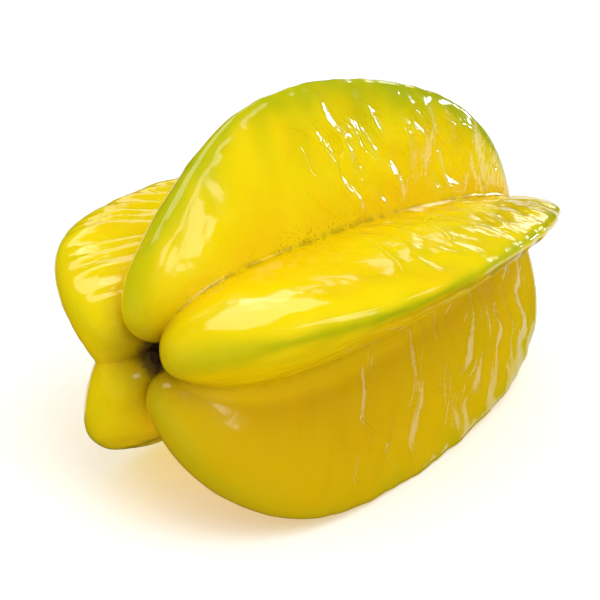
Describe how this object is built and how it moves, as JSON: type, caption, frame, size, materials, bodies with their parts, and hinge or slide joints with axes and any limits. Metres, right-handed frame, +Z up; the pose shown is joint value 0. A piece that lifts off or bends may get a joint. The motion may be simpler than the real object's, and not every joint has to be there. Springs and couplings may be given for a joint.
{
  "type": "star fruit",
  "caption": "Whole ripe star fruit with deep blade-like ribs along its length, lying on its side, with the dried stub of its stalk in the pit.",
  "frame": {"origin": "centre of the base of the bounding box, on the surface that the fruit lies on", "axes": "+X along the fruit from the stalk end to the tip, +Z up as it lies on two ribs"},
  "size_m": [0.119, 0.0674, 0.0667],
  "materials": {
    "fruit_skin": "waxy gloss, yellow with greener crests",
    "dry_stalk": "rough, dark brown, dried"
  },
  "bodies": {
    "root": {"fruit": "fruit_skin", "stalk_stub": "dry_stalk"}
  },
  "joints": []
}
